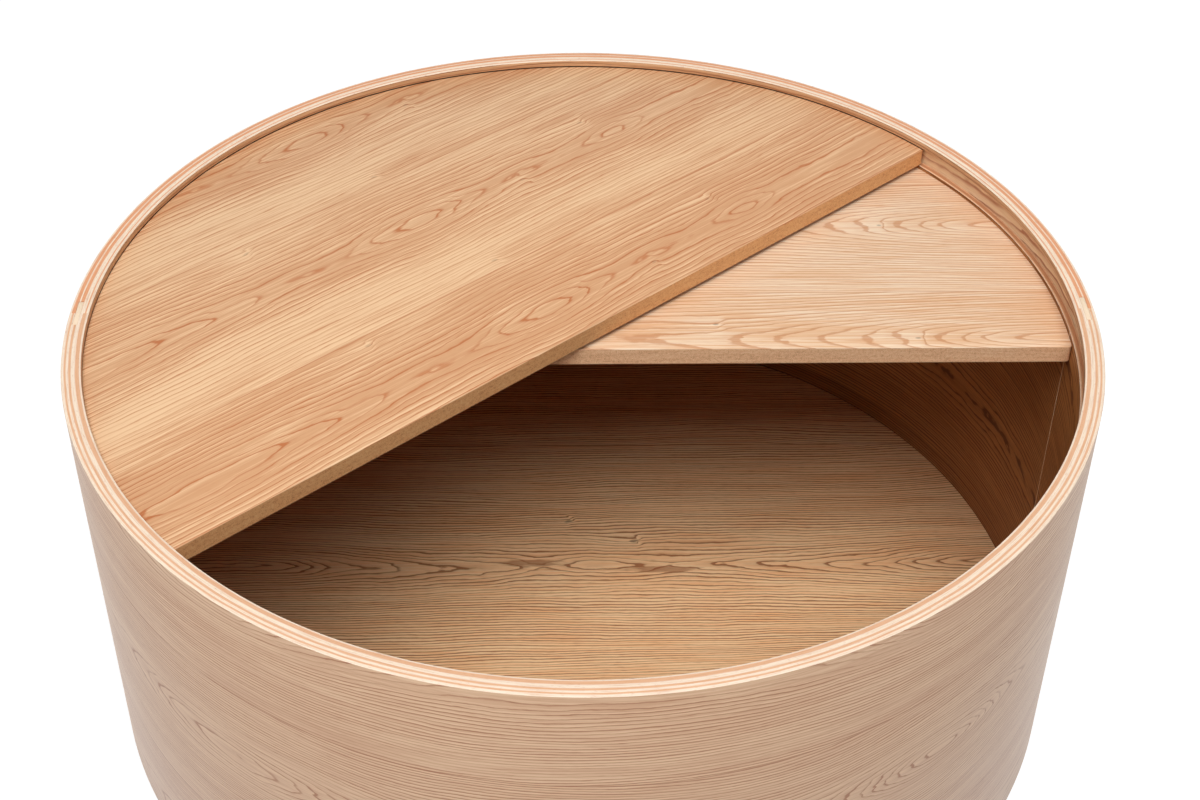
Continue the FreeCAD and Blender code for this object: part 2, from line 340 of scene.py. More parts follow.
class AshGroups:
    """The node groups that the wood finishes share. All their lengths are millimetres."""

    TEETH = Streak(60.0, 7.0)
    RAGGED = Streak(14.0, 2.4, 3.0)
    SWAY = Streak(230.0, 75.0, detail=1.0)
    WOBBLE = Streak(70.0, 14.0, 3.7)
    JAGGED = Streak(9.0, 3.4, 6.3)
    PATCHES = Streak(160.0, 12.0, 9.1)
    CLOUDS = Streak(160.0, 26.0, 15.0)
    WANDER = Streak(50.0, 22.0, 27.0)
    FIBRE = Streak(70.0, 1.7, detail=3.0)
    PORES = Streak(12.0, 0.7, 21.0, 1.0)
    KNOT_EYE = paint(66, 34, 16)

    def __init__(self) -> None:
        """Builds each group once."""
        self.leaf = self.build_leaf()
        self.island = self.build_island()
        self.knot = self.build_knot()
        self.lens = self.build_lens()
        self.figure = self.build_figure()
        self.sheen = self.build_sheen()

    def build_leaf(self) -> bpy.types.NodeTree:
        """Builds the group that lays a face out in slip-matched leaves of veneer.

        Returns:
            The group.
        """
        sheet = GroupSheet(
            "veneer_leaf", ("Along", "Across", "Leaf Width", "First Joint", "Heart", "Slip", "Teeth"),
            ("Along", "Off Heart", "Leaf", "Joint"))
        given = sheet.given
        along, leaf_width = given["Along"], given["Leaf Width"]
        joint_core, joint_fade = 0.15, 0.7
        share = sheet.over(sheet.less(given["Across"], given["First Joint"]), leaf_width)
        leaf = sheet.math("FLOOR", share)
        inside = sheet.math("FRACT", share)
        off_heart = sheet.times(sheet.less(inside, given["Heart"]), leaf_width)
        teeth = sheet.swing(along, off_heart, self.TEETH, leaf)
        to_edge = sheet.times(sheet.math("MINIMUM", inside, sheet.less(1.0, inside)), leaf_width)
        return sheet.put(
            along=sheet.total(along, sheet.times(leaf, given["Slip"]), sheet.times(teeth, given["Teeth"])),
            off_heart=off_heart, leaf=leaf, joint=sheet.band(to_edge, joint_core, joint_fade, 1.0, 0.0))

    def build_island(self) -> bpy.types.NodeTree:
        """Builds the group for a swelling along the heart, where the rings close into ovals.

        Returns:
            The group.
        """
        sheet = GroupSheet(
            "figure_island", ("Along", "Off Heart", "Middle", "Half Length", "Half Width", "Rise"),
            ("Rise", "Slope"))
        given = sheet.given
        reach = sheet.over(sheet.less(given["Along"], given["Middle"]), given["Half Length"])
        aside = sheet.over(given["Off Heart"], given["Half Width"])
        spread = sheet.total(sheet.squares(aside), 1.0)
        rise = sheet.over(sheet.times(sheet.bell(reach), given["Rise"]), spread)
        return sheet.put(rise=rise, slope=sheet.over(sheet.times(rise, reach, 2.0), given["Half Length"]))

    def build_knot(self) -> bpy.types.NodeTree:
        """Builds the group for a pin knot, with the swirl of rings round it.

        Returns:
            The group.
        """
        sheet = GroupSheet("pin_knot", ("Along", "Off Heart", "Middle", "Across", "Size"), ("Eye", "Swirl"))
        given = sheet.given
        eye_stretch, eye_core, eye_fade = 0.3, 0.45, 1.25
        swirl_height, ahead, behind, beside = 3.2, 0.2, -0.028, 0.11
        along = sheet.less(given["Along"], given["Middle"])
        across = sheet.less(given["Off Heart"], given["Across"])
        squared = sheet.total(sheet.times(along, along, eye_stretch), sheet.squares(across))
        reach = sheet.over(sheet.math("SQRT", squared), given["Size"])
        trail = sheet.math("MAXIMUM", sheet.times(along, ahead), sheet.times(along, behind))
        swirl = sheet.times(sheet.bell(trail, sheet.times(across, beside)), swirl_height)
        return sheet.put(eye=sheet.band(reach, eye_core, eye_fade, 1.0, 0.0), swirl=swirl)

    def build_lens(self) -> bpy.types.NodeTree:
        """Builds the group for a dark lens of late wood, where the cut just grazes a ring.

        Returns:
            The group.
        """
        sheet = GroupSheet(
            "grazed_ring", ("Along", "Off Heart", "Middle", "Across", "Half Length", "Half Width"),
            ("Stain",))
        given = sheet.given
        raggedness, core, fade = 1.2, 0.55, 1.05
        along = sheet.over(sheet.less(given["Along"], given["Middle"]), given["Half Length"])
        across = sheet.over(sheet.less(given["Off Heart"], given["Across"]), given["Half Width"])
        ragged = sheet.swing(given["Along"], given["Off Heart"], self.RAGGED)
        reach = sheet.total(sheet.math("SQRT", sheet.squares(along, across)), sheet.times(ragged, raggedness))
        return sheet.put(stain=sheet.band(reach, core, fade, 1.0, 0.0))

    def build_figure(self) -> bpy.types.NodeTree:
        """Builds the group for flat-cut ash: ring lines, pores, fibre and their colours.

        Returns:
            The group.
        """
        sheet = GroupSheet(
            "flat_cut_ash",
            ("Along", "Off Heart", "Leaf", "Joint", "Depth", "Slope", "Swirl", "Eye", "Point", "Heart Shade",
             "Ring Width", "Line Width", "Drift", "Wander", "Contrast", "Limit", "Bright", "Seed",
             "Pale Colour", "Tan Colour", "Ring Colour"),
            ("Colour", "Height", "Dark"))
        given = sheet.given
        along, off, seed, leaf = given["Along"], given["Off Heart"], given["Seed"], given["Leaf"]
        point, swirl = given["Point"], given["Swirl"]

        bent = sheet.total(off, sheet.times(sheet.swing(along, off, self.SWAY, seed), given["Drift"], 2.0),
                           sheet.times(sheet.swing(along, off, self.WOBBLE, seed), 2.0))
        wander = sheet.swing(along, off, self.WANDER, seed)
        least_depth, jag, slow_years, uneven_years = 0.5, 0.7, 13.0, 1.6
        depth = sheet.math("MAXIMUM", least_depth,
                           sheet.total(given["Depth"], sheet.times(wander, given["Wander"], 2.0)))
        aside = sheet.math("ABSOLUTE", bent)
        powered = sheet.total(sheet.math("POWER", aside, point), sheet.math("POWER", depth, point))
        bare_reach = sheet.math("POWER", powered, sheet.over(1.0, point))
        reach = sheet.total(bare_reach, swirl, sheet.times(sheet.swing(along, off, self.JAGGED, seed), jag))
        uneven = sheet.noise(sheet.vector(sheet.times(reach, 1 / slow_years), seed), detail=1.0)
        years = sheet.total(sheet.over(reach, given["Ring Width"]), sheet.times(uneven, uneven_years))
        within = sheet.math("FRACT", years)
        draw = sheet.add("ShaderNodeTexWhiteNoise", noise_dimensions="2D")
        sheet.feed(draw.inputs["Vector"], sheet.vector(sheet.math("FLOOR", years), seed))
        strength = draw.outputs["Value"]

        least_slant, least_line, most_line, line_core = 0.012, 0.3, 0.5, 0.35
        slant = sheet.total(sheet.squares(given["Slope"]), least_slant)
        less_point = sheet.less(point, 1.0)
        across_slope = sheet.math("POWER", sheet.over(aside, bare_reach), less_point)
        along_slope = sheet.math("POWER", sheet.over(depth, bare_reach), less_point)
        steep = sheet.math("SQRT", sheet.total(
            sheet.squares(across_slope), sheet.times(along_slope, along_slope, slant)))
        crowding = sheet.times(sheet.over(steep, given["Ring Width"]), given["Line Width"])
        width = sheet.math("MINIMUM", most_line, sheet.math("MAXIMUM", least_line, crowding))
        core = sheet.times(width, line_core)
        thin = sheet.band(within, core, width, 1.0, 0.0)
        thin_share, tail_share, weakest_year, weakest_patch, weakest_pith = 0.76, 0.24, 0.4, 0.5, 0.1
        tail_low, tail_high, flat_tail = 0.05, 0.8, 0.45
        patch_low, patch_high, pith_low, pith_high = 0.3, 0.6, 4.0, 8.5
        tail = sheet.times(sheet.band(within, tail_low, tail_high, 1.0, 0.0),
                           sheet.total(sheet.times(steep, 1.0 - flat_tail), flat_tail))
        patches = sheet.streaks(along, off, self.PATCHES, seed)
        line = sheet.times(
            sheet.band(within, 0.0, core),
            sheet.total(sheet.times(thin, thin_share), sheet.times(tail, tail_share)),
            sheet.total(sheet.times(strength, 1.0 - weakest_year), weakest_year),
            sheet.band(patches, patch_low, patch_high, weakest_patch, 1.0),
            sheet.band(reach, pith_low, pith_high, weakest_pith, 1.0))

        leaf_apart, pore_low, pore_high, between_lines = 5.3, 0.56, 0.72, 0.3
        layer = sheet.total(seed, sheet.times(leaf, leaf_apart))
        fibre = sheet.streaks(along, off, self.FIBRE, layer)
        pores = sheet.times(sheet.band(sheet.streaks(along, off, self.PORES, layer), pore_low, pore_high),
                            sheet.total(sheet.times(line, 1.0 - between_lines), between_lines))
        cloud = sheet.streaks(along, off, self.CLOUDS, seed)
        gleam_low, gleam_high, heart_core, heart_edge = 0.5, 0.95, 10.0, 75.0
        gleam = sheet.times(sheet.band(within, gleam_low, gleam_high), steep)
        bright_off, bright_width, bright_reach, bright_end = -57.0, 26.0, 150.0, 0.25
        from_bright = sheet.over(sheet.less(off, bright_off), bright_width)
        bright = sheet.times(sheet.bell(from_bright), given["Bright"],
                             sheet.band(along, -bright_reach, bright_reach, 1.0, bright_end))
        heart_shade = sheet.times(
            sheet.band(sheet.math("ABSOLUTE", off), heart_core, heart_edge, -1.0, 0.0), given["Heart Shade"])
        fibre_tone, cloud_tone, gleam_tone, leaf_tone, swirl_tone, base = 1.3, 0.6, 0.2, 0.1, 0.05, -0.5
        tone = sheet.total(
            sheet.times(fibre, fibre_tone), sheet.times(cloud, cloud_tone),
            sheet.times(gleam, strength, gleam_tone),
            sheet.times(sheet.math("MINIMUM", leaf, 0.0), leaf_tone), heart_shade,
            sheet.times(swirl, swirl_tone), bright, base)

        tan_tone, pale_tone, most_boost = 0.15, 0.75, 2.0
        ring_share, pore_share, joint_share = 0.78, 0.42, 0.6
        pore_height, fibre_height, joint_height = -0.9, 0.35, -0.5
        ground = sheet.mix(sheet.band(tone, tan_tone, pale_tone), given["Tan Colour"], given["Pale Colour"])
        boost = sheet.less(most_boost, steep)
        stain = sheet.total(sheet.times(line, boost, ring_share), sheet.times(pores, pore_share))
        dark = sheet.math("MINIMUM", given["Limit"], sheet.times(stain, given["Contrast"]))
        ringed = sheet.mix(dark, ground, given["Ring Colour"])
        joined = sheet.mix(sheet.times(given["Joint"], joint_share), ringed, given["Ring Colour"])
        return sheet.put(
            colour=sheet.mix(given["Eye"], joined, self.KNOT_EYE), dark=dark,
            height=sheet.total(sheet.times(pores, pore_height), sheet.times(fibre, fibre_height),
                               sheet.times(given["Joint"], joint_height)))

    def build_sheen(self) -> bpy.types.NodeTree:
        """Builds the group for a brushed satin lacquer, which is a little duller in the pores.

        Returns:
            The group.
        """
        sheet = GroupSheet("satin_lacquer", ("Dark", "Satin"), ("Roughness",))
        smear_scale, smear_share, dull_share = 9.0, 0.12, 0.12
        place = sheet.add("ShaderNodeTexCoord").outputs["Object"]
        smears = sheet.times(sheet.less(sheet.noise(place, smear_scale, 3.0), 0.5), smear_share)
        return sheet.put(roughness=sheet.total(
            sheet.given["Satin"], smears, sheet.times(sheet.given["Dark"], dull_share)))


class Finish:
    """A procedural material in the making."""

    def __init__(self, name: str, groups: AshGroups) -> None:
        """Starts a material with its shader.

        Args:
            name: The material's name.
            groups: The shared node groups.
        """
        self.groups = groups
        self.material = bpy.data.materials.new(name)
        self.material.use_nodes = True
        self.sheet = NodeSheet(self.material.node_tree)
        nodes = self.material.node_tree.nodes
        self.shader = next(node for node in nodes if node.type == "BSDF_PRINCIPLED")

    def place(self) -> Socket:
        """Gives the place on the piece, in metres."""
        return self.sheet.add("ShaderNodeTexCoord").outputs["Object"]

    def place_mm(self, turn: float = 0.0) -> tuple[Socket, Socket, Socket]:
        """Gives the place on the piece in millimetres.

        Args:
            turn: How far the pattern is turned about Z, in radians.

        Returns:
            The three coordinates.
        """
        mapping = self.sheet.add("ShaderNodeMapping")
        self.sheet.feed(mapping.inputs["Vector"], self.place())
        mapping.inputs["Rotation"].default_value = (0.0, 0.0, -turn)
        mapping.inputs["Scale"].default_value = (PER_MM, PER_MM, PER_MM)
        split = self.sheet.add("ShaderNodeSeparateXYZ")
        self.sheet.feed(split.inputs[0], mapping.outputs[0])
        return split.outputs[0], split.outputs[1], split.outputs[2]

    def round_place(self, radius: float) -> tuple[Socket, Socket, Socket]:
        """Gives the place on a turned piece.

        Args:
            radius: The radius at which the arc is measured, in millimetres.

        Returns:
            Arc length, height and radius in millimetres.
        """
        x, y, z = self.place_mm()
        arc = self.sheet.times(self.sheet.math("ARCTAN2", y, x), radius)
        return arc, z, self.sheet.math("SQRT", self.sheet.squares(x, y))

    def bump(self, height: Value, strength: float, depth: float) -> None:
        """Raises the surface.

        Args:
            height: The height that is read.
            strength: How strong it shows.
            depth: Its depth in metres.
        """
        node = self.sheet.add("ShaderNodeBump")
        node.inputs["Strength"].default_value = strength
        node.inputs["Distance"].default_value = depth
        self.sheet.feed(node.inputs["Height"], height)
        self.sheet.feed(self.shader.inputs["Normal"], node.outputs[0])

    def set(self, **values: Value) -> None:
        """Sets or wires the shader's inputs, with spaces in their names written as underscores."""
        for name, value in values.items():
            self.sheet.feed(self.shader.inputs[name.replace("_", " ")], value)

    def lacquer(self, colour: Value, dark: Value, satin: float, specular: float = 0.4) -> None:
        """Lays a colour under satin lacquer.

        Args:
            colour: The colour.
            dark: Where the wood is dark, and the lacquer a little duller.
            satin: How dull the lacquer is.
            specular: How much it reflects.
        """
        sheen = self.sheet.place(self.groups.sheen, dark=dark, satin=satin).outputs["Roughness"]
        self.set(Base_Color=colour, Roughness=sheen, Specular_IOR_Level=specular)


@dataclass(frozen=True)
class Look:
    """How a finish looks, and the name of its material."""

    name: str

    def lay(self, finish: Finish) -> None:
        """Lays the look on a material. Each kind of look does it in its own way."""
        raise NotImplementedError

    def material(self, groups: AshGroups) -> bpy.types.Material:
        """Builds the finish.

        Args:
            groups: The shared node groups.

        Returns:
            The material.
        """
        finish = Finish(self.name, groups)
        self.lay(finish)
        return finish.material


@dataclass(frozen=True)
class Island:
    """A stretch of the heart where the rings close into ovals, in millimetres."""

    middle: float
    half_length: float
    rise: float
    half_width: float = 45.0


@dataclass(frozen=True)
class PinKnot:
    """A pin knot on a leaf, in millimetres along the grain and off the heart."""

    middle: float
    across: float
    size: float = 1.6


@dataclass(frozen=True)
class GrazedRing:
    """A dark lens where the cut grazes a ring, in millimetres along the grain and off the heart."""

    middle: float
    across: float
    half_length: float
    half_width: float


@dataclass(frozen=True)
class AshVeneer(Look):
    """Slip-matched leaves of flat-cut ash veneer under satin lacquer. Lengths are millimetres."""

    grain: Grain = Grain.FLAT
    turn: float = 0.0
    radius: float = 400.0
    first_joint: float = 0.0
    leaf_width: float = 163.0
    heart: float = 0.59
    slip: float = 2.0
    teeth: float = 16.0
    depth: float = 26.0
    ring_width: float = 3.0
    line_width: float = 1.5
    drift: float = 6.0
    wander: float = 3.0
    point: float = 2.0
    contrast: float = 1.0
    limit: float = 0.8
    heart_shade: float = 0.0
    bright: float = 0.0
    seam: float = 0.0
    seed: float = 0.0
    satin: float = 0.46
    coat: float = 0.0
    coat_roughness: float = 0.3
    eye: float = 0.5
    lens_share: float = 0.55
    islands: tuple[Island, ...] = ()
    knots: tuple[PinKnot, ...] = ()
    lenses: tuple[GrazedRing, ...] = ()
    # Radius from which the face gets painted shade, for the shadow under the wall's lip; zero for none.
    hidden_from: float = 0.0
    pale: Colour = paint(245, 205, 161)
    tan: Colour = paint(217, 164, 120)
    ring: Colour = paint(186, 98, 40)
    # Colour of the painted shade under the lip.
    under_lip: Colour = paint(40, 22, 12)
    seam_line: Colour = paint(250, 220, 186)

    def lay(self, finish: Finish) -> None:
        """Lays the look on a material.

        Args:
            finish: The material in the making.
        """
        groups, sheet = finish.groups, finish.sheet
        if self.grain is Grain.ROUND:
            along, across, _ = finish.round_place(self.radius)
        else:
            along, across, _ = finish.place_mm(self.turn)
        leaf = sheet.place(groups.leaf, along=along, across=across,
                           **self.values("leaf_width", "first_joint", "heart", "slip", "teeth")).outputs
        spot = {"along": leaf["Along"], "off_heart": leaf["Off Heart"]}
        depth: Value = self.depth
        slope: Value = 0.0
        for island in self.islands:
            rise = sheet.place(groups.island, **spot, **asdict(island)).outputs
            depth = sheet.less(depth, rise["Rise"])
            slope = sheet.total(rise["Slope"], slope)
        swirl: Value = 0.0
        eye: Value = 0.0
        for knot in self.knots:
            mark = sheet.place(groups.knot, **spot, **asdict(knot)).outputs
            swirl = sheet.total(mark["Swirl"], swirl)
            eye = sheet.total(sheet.times(mark["Eye"], self.eye), eye)
        wood = sheet.place(
            groups.figure, **spot, leaf=leaf["Leaf"], joint=leaf["Joint"], depth=depth, slope=slope,
            swirl=swirl, eye=eye, pale_colour=self.pale, tan_colour=self.tan, ring_colour=self.ring,
            **self.values("ring_width", "line_width", "drift", "wander", "point", "contrast", "limit",
                          "heart_shade", "bright", "seed")).outputs
        colour = wood["Colour"]
        for lens in self.lenses:
            stain = sheet.place(groups.lens, **spot, **asdict(lens)).outputs["Stain"]
            colour = sheet.mix(sheet.times(stain, self.lens_share), colour, self.ring)
        # Painted shade: the face darkens towards its rim, where it runs under the wall's lip.
        if self.hidden_from:
            _, _, reach = finish.round_place(self.radius)
            fade, most = 0.6, 0.92
            painted_lip_shade = sheet.band(reach, self.hidden_from, self.hidden_from + fade, 0.0, most)
            colour = sheet.mix(painted_lip_shade, colour, self.under_lip)
        if self.seam:
            _, beside, _ = finish.place_mm()
            core, fade = 0.25, 0.7
            near = sheet.band(sheet.math("ABSOLUTE", beside), core, fade, self.seam, 0.0)
            colour = sheet.mix(near, colour, self.seam_line)
        finish.lacquer(colour, wood["Dark"], self.satin)
        finish.set(Coat_Weight=self.coat, Coat_Roughness=self.coat_roughness)
        finish.bump(wood["Height"], strength=0.1, depth=0.1 * MM)

    def values(self, *names: str) -> dict[str, float]:
        """Gives some of the fields by name."""
        return {name: getattr(self, name) for name in names}


@dataclass(frozen=True)
class PlyEdge(Look):
    """Sanded edge of the bent plywood, with its plies in rings. Lengths are millimetres."""

    inner_radius: float = 385.0
    thickness: float = 15.0
    ply_shares: tuple[float, ...] = (0.1, 0.2, 0.2, 0.12, 0.13, 0.1, 0.15)
    border_share: float = 0.02
    waver: Streak = Streak(34.0, 9.0, 4.0)
    waver_height: float = 0.9
    fibre: Streak = Streak(26.0, 0.5, 1.0, 3.0)
    dashes: Streak = Streak(5.0, 0.4, 8.0, 1.0)
    pale: Colour = paint(254, 234, 211)
    dark: Colour = paint(236, 184, 145)
    pore: Colour = paint(208, 144, 100)

    def lay(self, finish: Finish) -> None:
        """Lays the look on a material.

        Args:
            finish: The material in the making.
        """
        sheet = finish.sheet
        arc, _, reach = finish.round_place(self.inner_radius + self.thickness)
        waver = sheet.times(sheet.swing(arc, reach, self.waver), self.waver_height)
        share = sheet.times(sheet.less(sheet.total(reach, waver), self.inner_radius), 1 / self.thickness)
        stops = []
        border = 0.0
        for index, width in enumerate(self.ply_shares):
            colour = self.dark if index % 2 else self.pale
            stops.append((max(0.0, border + self.border_share), colour))
            border += width
            stops.append((min(1.0, border - self.border_share), colour))
        plies = sheet.ramp(share, stops)
        fibre_low, fibre_high, fibre_most = 0.42, 0.78, 0.55
        dash_low, dash_high, dash_most = 0.62, 0.74, 0.6
        fibre = sheet.streaks(arc, reach, self.fibre)
        toned = sheet.mix(sheet.band(fibre, fibre_low, fibre_high, 0.0, fibre_most), plies, self.pore)
        dashes = sheet.band(sheet.streaks(arc, reach, self.dashes), dash_low, dash_high, 0.0, dash_most)
        finish.lacquer(sheet.mix(dashes, toned, self.pore), dashes, satin=0.5)
        finish.bump(sheet.less(fibre, dashes), strength=0.3, depth=0.1 * MM)


@dataclass(frozen=True)
class BareBoard(Look):
    """Lacquered edge of a fibreboard core, brown and granular."""

    fibre: Colour = paint(254, 222, 184)
    middle: Colour = paint(240, 193, 150)
    binder: Colour = paint(194, 141, 100)

    def lay(self, finish: Finish) -> None:
        """Lays the look on a material.

        Args:
            finish: The material in the making.
        """
        sheet = finish.sheet
        x, y, z = finish.place_mm()
        squash, press_flat, press_high = 1.6, 0.03, 0.5
        grit_share, chip_share, press_share = 0.6, 0.25, 0.15
        place = sheet.vector(x, y, sheet.times(z, squash))
        grit = sheet.noise(place, scale=1.1, detail=3.0, roughness=0.7)
        chips = sheet.noise(place, scale=0.33)
        press = sheet.noise(sheet.vector(
            sheet.times(x, press_flat), sheet.times(y, press_flat), sheet.times(z, press_high)))
        mixed = sheet.total(sheet.times(grit, grit_share), sheet.times(chips, chip_share),
                            sheet.times(press, press_share))
        colour = sheet.ramp(mixed, [(0.36, self.binder), (0.49, self.middle), (0.66, self.fibre)])
        finish.lacquer(colour, grit, satin=0.5, specular=0.35)
        finish.bump(grit, strength=0.35, depth=0.15 * MM)


@dataclass(frozen=True)
class PlainWood(Look):
    """Straight-grained timber for tongues and cleats, with short flecks."""

    upright: bool
    pale: Colour
    dark: Colour
    fleck: Colour
    radius: float = 393.0
    bands: Streak = Streak(120.0, 3.0, 2.0)
    flecks: Streak = Streak(5.0, 0.7, 6.0, 1.0)

    def lay(self, finish: Finish) -> None:
        """Lays the look on a material.

        Args:
            finish: The material in the making.
        """
        sheet = finish.sheet
        arc, height, reach = finish.round_place(self.radius)
        along, across = (height, arc) if self.upright else (arc, height)
        band = sheet.streaks(along, sheet.total(across, reach), self.bands)
        lean, fleck_low, fleck_high, fleck_share = 1.3, 0.6, 0.74, 0.6
        leaning = sheet.total(across, sheet.times(reach, lean))
        flecks = sheet.band(sheet.streaks(along, leaning, self.flecks), fleck_low, fleck_high)
        ground = sheet.mix(band, self.pale, self.dark)
        finish.lacquer(sheet.mix(sheet.times(flecks, fleck_share), ground, self.fleck), flecks, satin=0.55)
        finish.bump(sheet.less(band, flecks), strength=0.25, depth=0.1 * MM)


@dataclass(frozen=True)
class PlatedMetal(Look):
    """Plated steel or brass hardware, with fine turning marks and dull patches."""

    bright: Colour
    dull: Colour
    gloss: float

    def lay(self, finish: Finish) -> None:
        """Lays the look on a material.

        Args:
            finish: The material in the making.
        """
        sheet = finish.sheet
        place = finish.place()
        patches = sheet.noise(place, scale=420.0, detail=4.0, roughness=0.6)
        _, height, reach = finish.round_place(1.0)
        per_mm, dull_low, dull_high, patch_roughness = 6.0, 0.4, 0.7, 0.22
        turned = sheet.vector(sheet.times(height, per_mm), sheet.times(reach, per_mm))
        turning = sheet.noise(turned, detail=1.0)
        finish.set(Base_Color=sheet.mix(sheet.band(patches, dull_low, dull_high), self.bright, self.dull),
                   Roughness=sheet.total(sheet.times(patches, patch_roughness), self.gloss), Metallic=1.0)
        finish.bump(turning, strength=0.2, depth=0.05 * MM)


@dataclass(frozen=True)
class MouldedPlastic(Look):
    """Moulded nylon or plastic with a fine spark-eroded grain."""

    colour: Colour
    rubbed: Colour

    def lay(self, finish: Finish) -> None:
        """Lays the look on a material.

        Args:
            finish: The material in the making.
        """
        sheet = finish.sheet
        place = finish.place()
        grain = sheet.noise(place, scale=2600.0)
        rub = sheet.noise(place, scale=300.0, detail=3.0)
        rub_low, rub_high, rub_roughness, gloss = 0.45, 0.75, 0.2, 0.4
        finish.set(Base_Color=sheet.mix(sheet.band(rub, rub_low, rub_high), self.colour, self.rubbed),
                   Roughness=sheet.total(sheet.times(rub, rub_roughness), gloss))
        finish.bump(grain, strength=0.2, depth=0.05 * MM)


class Workpiece:
    """A mesh on the bench, shaped with edit-mode tools."""

    SHARP_FROM = math.radians(28.0)

    def __init__(self, name: str) -> None:
        """Names the piece."""
        self.name = name
        self.obj: Optional[bpy.types.Object] = None

    def start(self, primitive: Callable[..., object], scale: Sequence[float] = (1.0, 1.0, 1.0),
              **options: object) -> "Workpiece":
        """Adds a primitive as this piece, and puts its place and size into its mesh.

        Args:
            primitive: The operator that adds it.
            scale: How it is stretched.
            **options: Settings of the operator.

        Returns:
            This piece.
        """
        bpy.ops.object.select_all(action="DESELECT")
        primitive(**options)
        self.obj = bpy.context.object
        self.obj.name = self.name
        self.obj.data.name = self.name
        self.obj.scale = scale
        bpy.ops.object.transform_apply(location=True, rotation=True, scale=True)
        return self

    def hold(self) -> None:
        """Makes this piece the only one selected."""
        bpy.ops.object.select_all(action="DESELECT")
        bpy.context.view_layer.objects.active = self.obj
        self.obj.select_set(True)

    @contextmanager
    def editing(self, whole: bool = False) -> Iterator[None]:
        """Works on the piece in edit mode, and leaves it after.

        Args:
            whole: Whether all of the piece is selected first.

        Yields:
            Nothing.
        """
        self.hold()
        bpy.ops.object.mode_set(mode="EDIT")
        bpy.ops.mesh.select_mode(type=Pick.VERTS.value)
        if whole:
            bpy.ops.mesh.select_all(action="SELECT")
        yield
        bpy.ops.object.mode_set(mode="OBJECT")

    def upright_plate(self, left: float, right: float, low: float, high: float) -> "Workpiece":
        """Starts from a plate that stands in the XZ plane.

        Args:
            left: Its lowest X.
            right: Its highest X.
            low: Its lowest Z.
            high: Its highest Z.

        Returns:
            This piece.
        """
        middle = ((left + right) / 2, 0.0, (low + high) / 2)
        return self.start(bpy.ops.mesh.primitive_plane_add, (right - left, high - low, 1.0), size=1.0,
                          location=middle, rotation=(math.pi / 2, 0.0, 0.0))

    def point(self, place: Vector) -> "Workpiece":
        """Starts from a single point.

        Args:
            place: Where it lies.

        Returns:
            This piece.
        """
        self.start(bpy.ops.mesh.primitive_plane_add, size=1.0)
        with self.editing(whole=True):
            bpy.ops.mesh.merge(type="CENTER")
            bpy.ops.transform.translate(value=place)
        return self

    def block(self, low: Vector, high: Vector) -> "Workpiece":
        """Starts from a block between two corners."""
        return self.start(bpy.ops.mesh.primitive_cube_add, high - low, size=1.0, location=(low + high) / 2)

    def rod(self, radius: float, low: float, high: float, sides: int = 48) -> "Workpiece":
        """Starts from a rod on the Z axis."""
        return self.start(bpy.ops.mesh.primitive_cylinder_add, vertices=sides, radius=radius,
                          depth=high - low, location=(0.0, 0.0, (low + high) / 2))

    def pick(self, part: Pick, wanted: Callable[[Vector], bool]) -> None:
        """Selects only the parts that lie where they are wanted.

        Args:
            part: What is selected.
            wanted: Tells for each corner, or for a face's middle, whether it is wanted.
        """
        bpy.ops.mesh.select_mode(type=part.value)
        bpy.ops.mesh.select_all(action="DESELECT")
        mesh = bmesh.from_edit_mesh(self.obj.data)
        if part is Pick.FACES:
            for face in mesh.faces:
                face.select_set(wanted(face.calc_center_median()))
        elif part is Pick.EDGES:
            for edge in mesh.edges:
                edge.select_set(all(wanted(corner.co) for corner in edge.verts))
        else:
            for corner in mesh.verts:
                corner.select_set(wanted(corner.co))
        mesh.select_flush_mode()
        bmesh.update_edit_mesh(self.obj.data)

    def slice(self, place: Sequence[float], normal: Sequence[float]) -> None:
        """Scores the whole mesh along a plane."""
        bpy.ops.mesh.select_all(action="SELECT")
        bpy.ops.mesh.bisect(plane_co=place, plane_no=normal)

    def spin(self, steps: int, angle: float, centre: Sequence[float]) -> None:
        """Spins what is selected about an upright axis, anticlockwise for a positive angle."""
        bpy.ops.mesh.spin(steps=steps, angle=-angle, center=centre, axis=(0.0, 0.0, 1.0))

    def close_up(self) -> None:
        """Merges doubled corners and turns all faces outwards."""
        with self.editing(whole=True):
            bpy.ops.mesh.remove_doubles(threshold=WELD)
            bpy.ops.mesh.normals_make_consistent(inside=False)

    def cut(self, cutter: "Workpiece") -> None:
        """Cuts another piece's shape away, and clears that piece off the bench."""
        self.hold()
        modifier = self.obj.modifiers.new("cut", "BOOLEAN")
        modifier.operation = "DIFFERENCE"
        modifier.solver = "EXACT"
        modifier.object = cutter.obj
        bpy.ops.object.modifier_apply(modifier=modifier.name)
        bpy.data.objects.remove(cutter.obj)

    def smooth(self) -> None:
        """Shades the piece smooth, with its corners sharp."""
        self.hold()
        bpy.ops.object.shade_smooth_by_angle(angle=self.SHARP_FROM)

    def dress(self, materials: Sequence[bpy.types.Material],
              choose: Optional[Callable[[bpy.types.MeshPolygon], int]] = None) -> None:
        """Gives the faces their finishes.

        Args:
            materials: The finishes.
            choose: Tells for a face which of them it wears. With none, all wear the first.
        """
        self.obj.data.materials.clear()
        for material in materials:
            self.obj.data.materials.append(material)
        if choose:
            for face in self.obj.data.polygons:
                face.material_index = choose(face)

    def fit(self, body: str, slot: str, *nodes: str) -> None:
        """Puts the piece on its body in place of its nodes.

        Args:
            body: The body that it moves with.
            slot: The record's material slot; not used.
            *nodes: The nodes that it stands for.
        """
        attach(self.obj, body)
        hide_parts(*nodes)
        log.info("piece %s on %s for %s", self.name, body, ", ".join(nodes))


